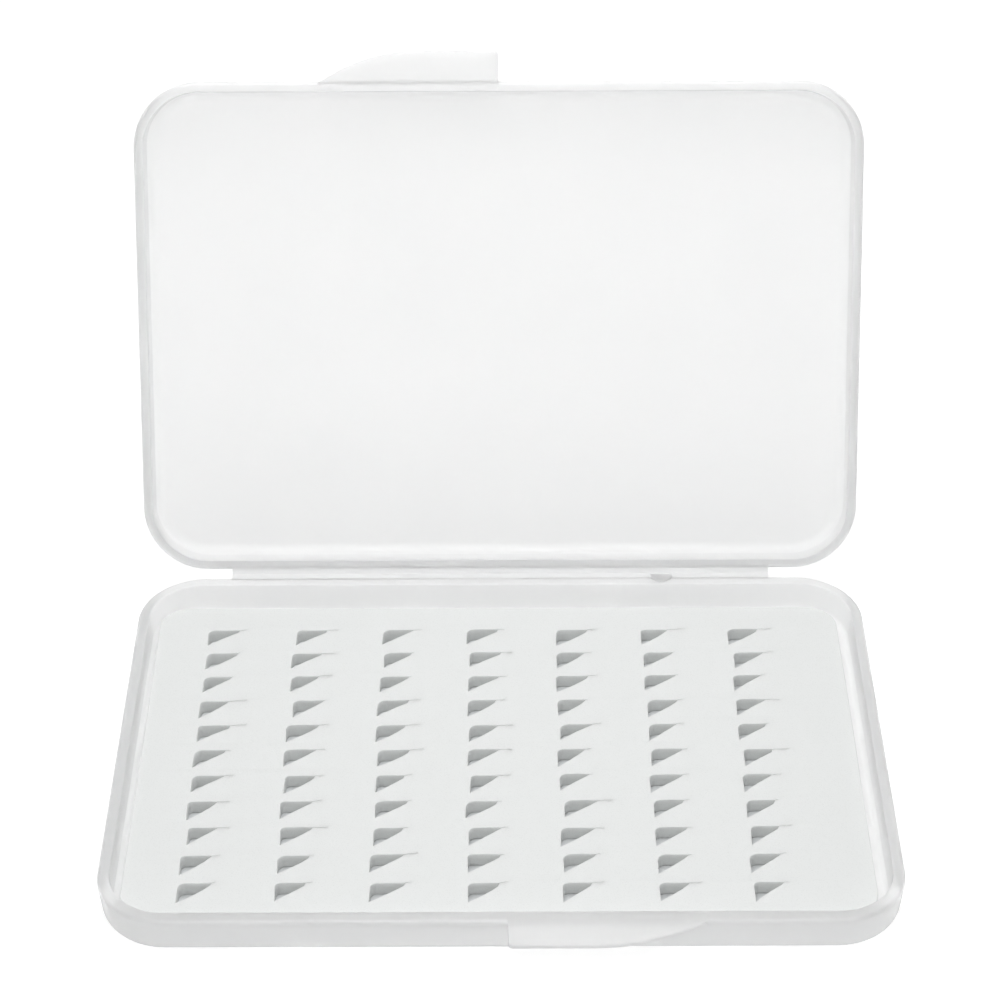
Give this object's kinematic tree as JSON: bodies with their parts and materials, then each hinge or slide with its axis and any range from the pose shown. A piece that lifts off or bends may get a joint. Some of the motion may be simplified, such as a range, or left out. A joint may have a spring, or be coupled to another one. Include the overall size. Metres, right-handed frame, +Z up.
{
  "type": "fly box",
  "caption": "Slim translucent plastic box with a film-hinged lid, two offset finger tabs and a slit foam insert that holds small hooked lures.",
  "frame": {"origin": "middle of the tray's underside, where the box rests on a surface", "axes": "+Z up, +X to the right along the hinge, +Y from the tray's front edge towards the hinge and the open lid"},
  "size_m": [0.1498, 0.1584, 0.1065],
  "materials": {
    "case_plastic": "natural translucent polypropylene, satin moulded surface",
    "foam": "white closed-cell foam sheet, fine matte pores",
    "adhesive": "thin pale double-sided tape"
  },
  "bodies": {
    "tray": {"tray_shell": "case_plastic", "tray_hinge_leaf": "case_plastic", "tray_finger_tab": "case_plastic", "hinge_film": "case_plastic", "adhesive_sheet": "adhesive", "foam_insert": "foam"},
    "lid": {"lid_shell": "case_plastic", "lid_hinge_leaf": "case_plastic", "lid_finger_tab": "case_plastic"}
  },
  "joints": [
    {"name": "lid_hinge", "type": "hinge", "parent": "tray", "child": "lid", "pos_m": [0, 0.05185, 0.00775], "axis": [-1, 0, 0], "range_deg": [-115, 65]}
  ]
}
